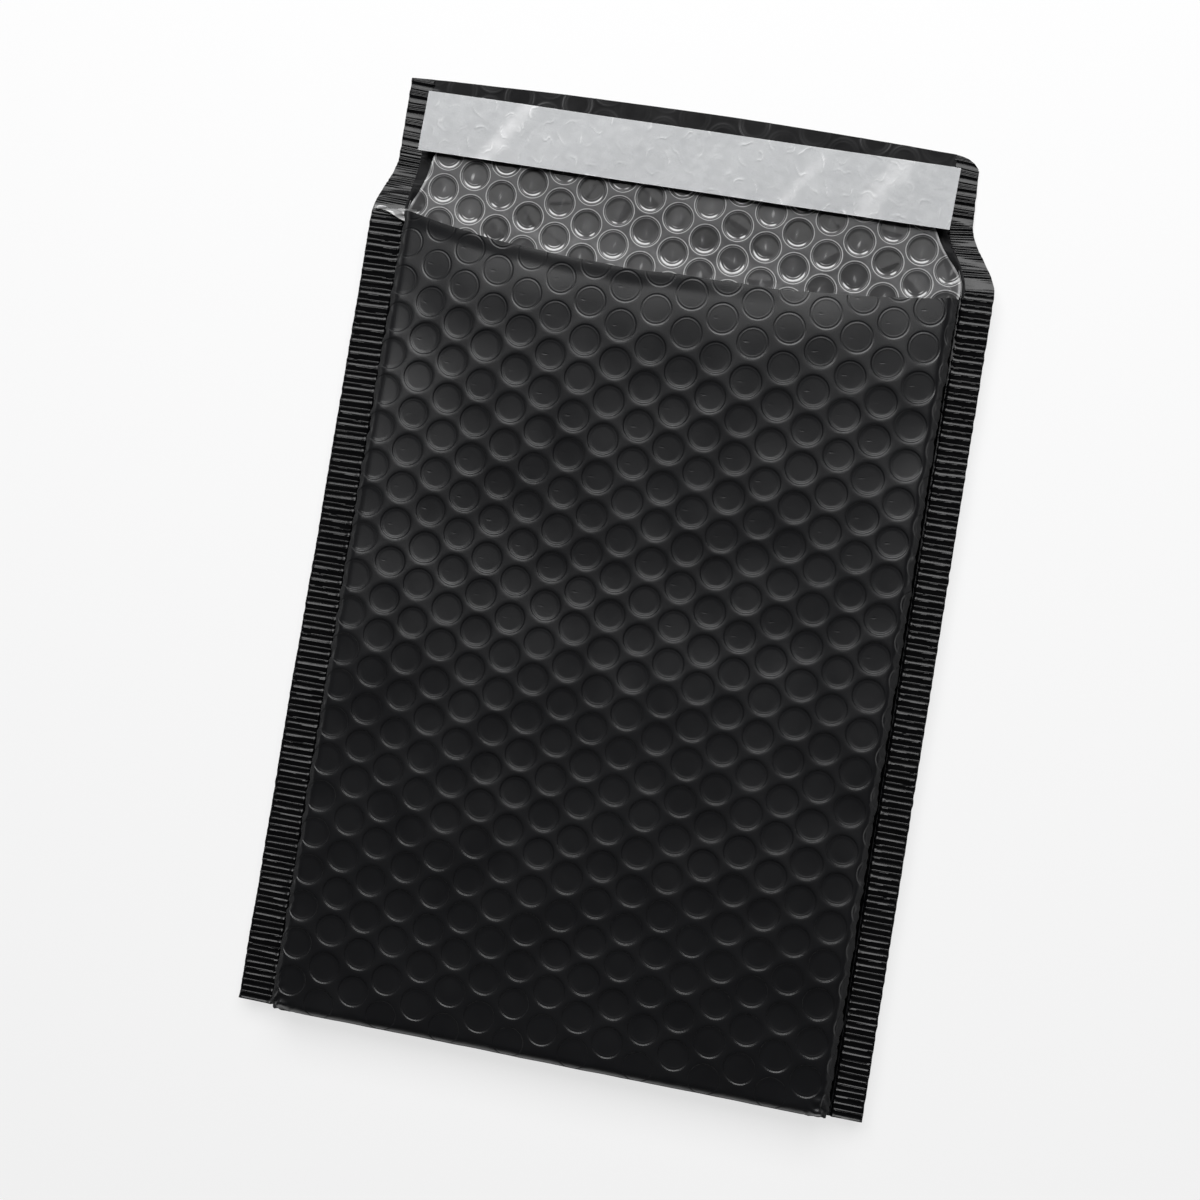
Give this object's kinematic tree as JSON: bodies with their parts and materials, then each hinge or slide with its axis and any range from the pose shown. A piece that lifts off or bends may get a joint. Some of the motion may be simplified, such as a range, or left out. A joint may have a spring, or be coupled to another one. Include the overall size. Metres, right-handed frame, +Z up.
{
  "type": "padded envelope",
  "caption": "Black film mailing bag with a clear bubble lining, crimped side seals, an open mouth and a flap with an adhesive strip under a white release liner.",
  "frame": {"origin": "middle of the whole outline with the flap open, on the surface the bag lies on", "axes": "+X across the bag to the right as seen from the front, +Y along the bag from the closed end to the flap, +Z up out of the front panel"},
  "size_m": [0.1806, 0.2734, 0.0195],
  "materials": {
    "black_film": "opaque black polyethylene film with a soft sheen",
    "clear_film": "clear glossy bubble film",
    "adhesive": "pale tacky glue band",
    "liner": "white release film with a satin face"
  },
  "bodies": {
    "root": {"outer_film": "black_film", "bubble_lining": "clear_film", "adhesive_strip": "adhesive", "release_liner": "liner"}
  },
  "joints": []
}
